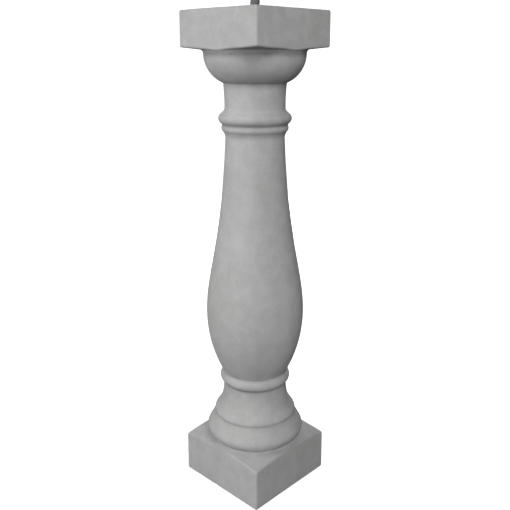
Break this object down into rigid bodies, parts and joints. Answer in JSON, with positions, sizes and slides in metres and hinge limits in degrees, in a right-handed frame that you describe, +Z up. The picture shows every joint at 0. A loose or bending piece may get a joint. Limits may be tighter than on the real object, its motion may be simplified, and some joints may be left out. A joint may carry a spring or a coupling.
{
  "type": "stone baluster",
  "caption": "Cast stone baluster: square plinth and abacus, bellied shaft between ringed necks, and a steel bar standing out of its top.",
  "frame": {"origin": "centre of the underside of the plinth, on the turning axis", "axes": "+Z up along the turning axis; +X and +Y square to the faces of the plinth and the abacus"},
  "size_m": [0.15, 0.15, 0.8],
  "materials": {
    "cast_stone": "matt, smooth from the mould, faintly mottled, with a few small air pits",
    "mill_steel": "dull dark mill scale"
  },
  "bodies": {
    "root": {"baluster": "cast_stone", "reinforcing_bar": "mill_steel"}
  },
  "joints": []
}
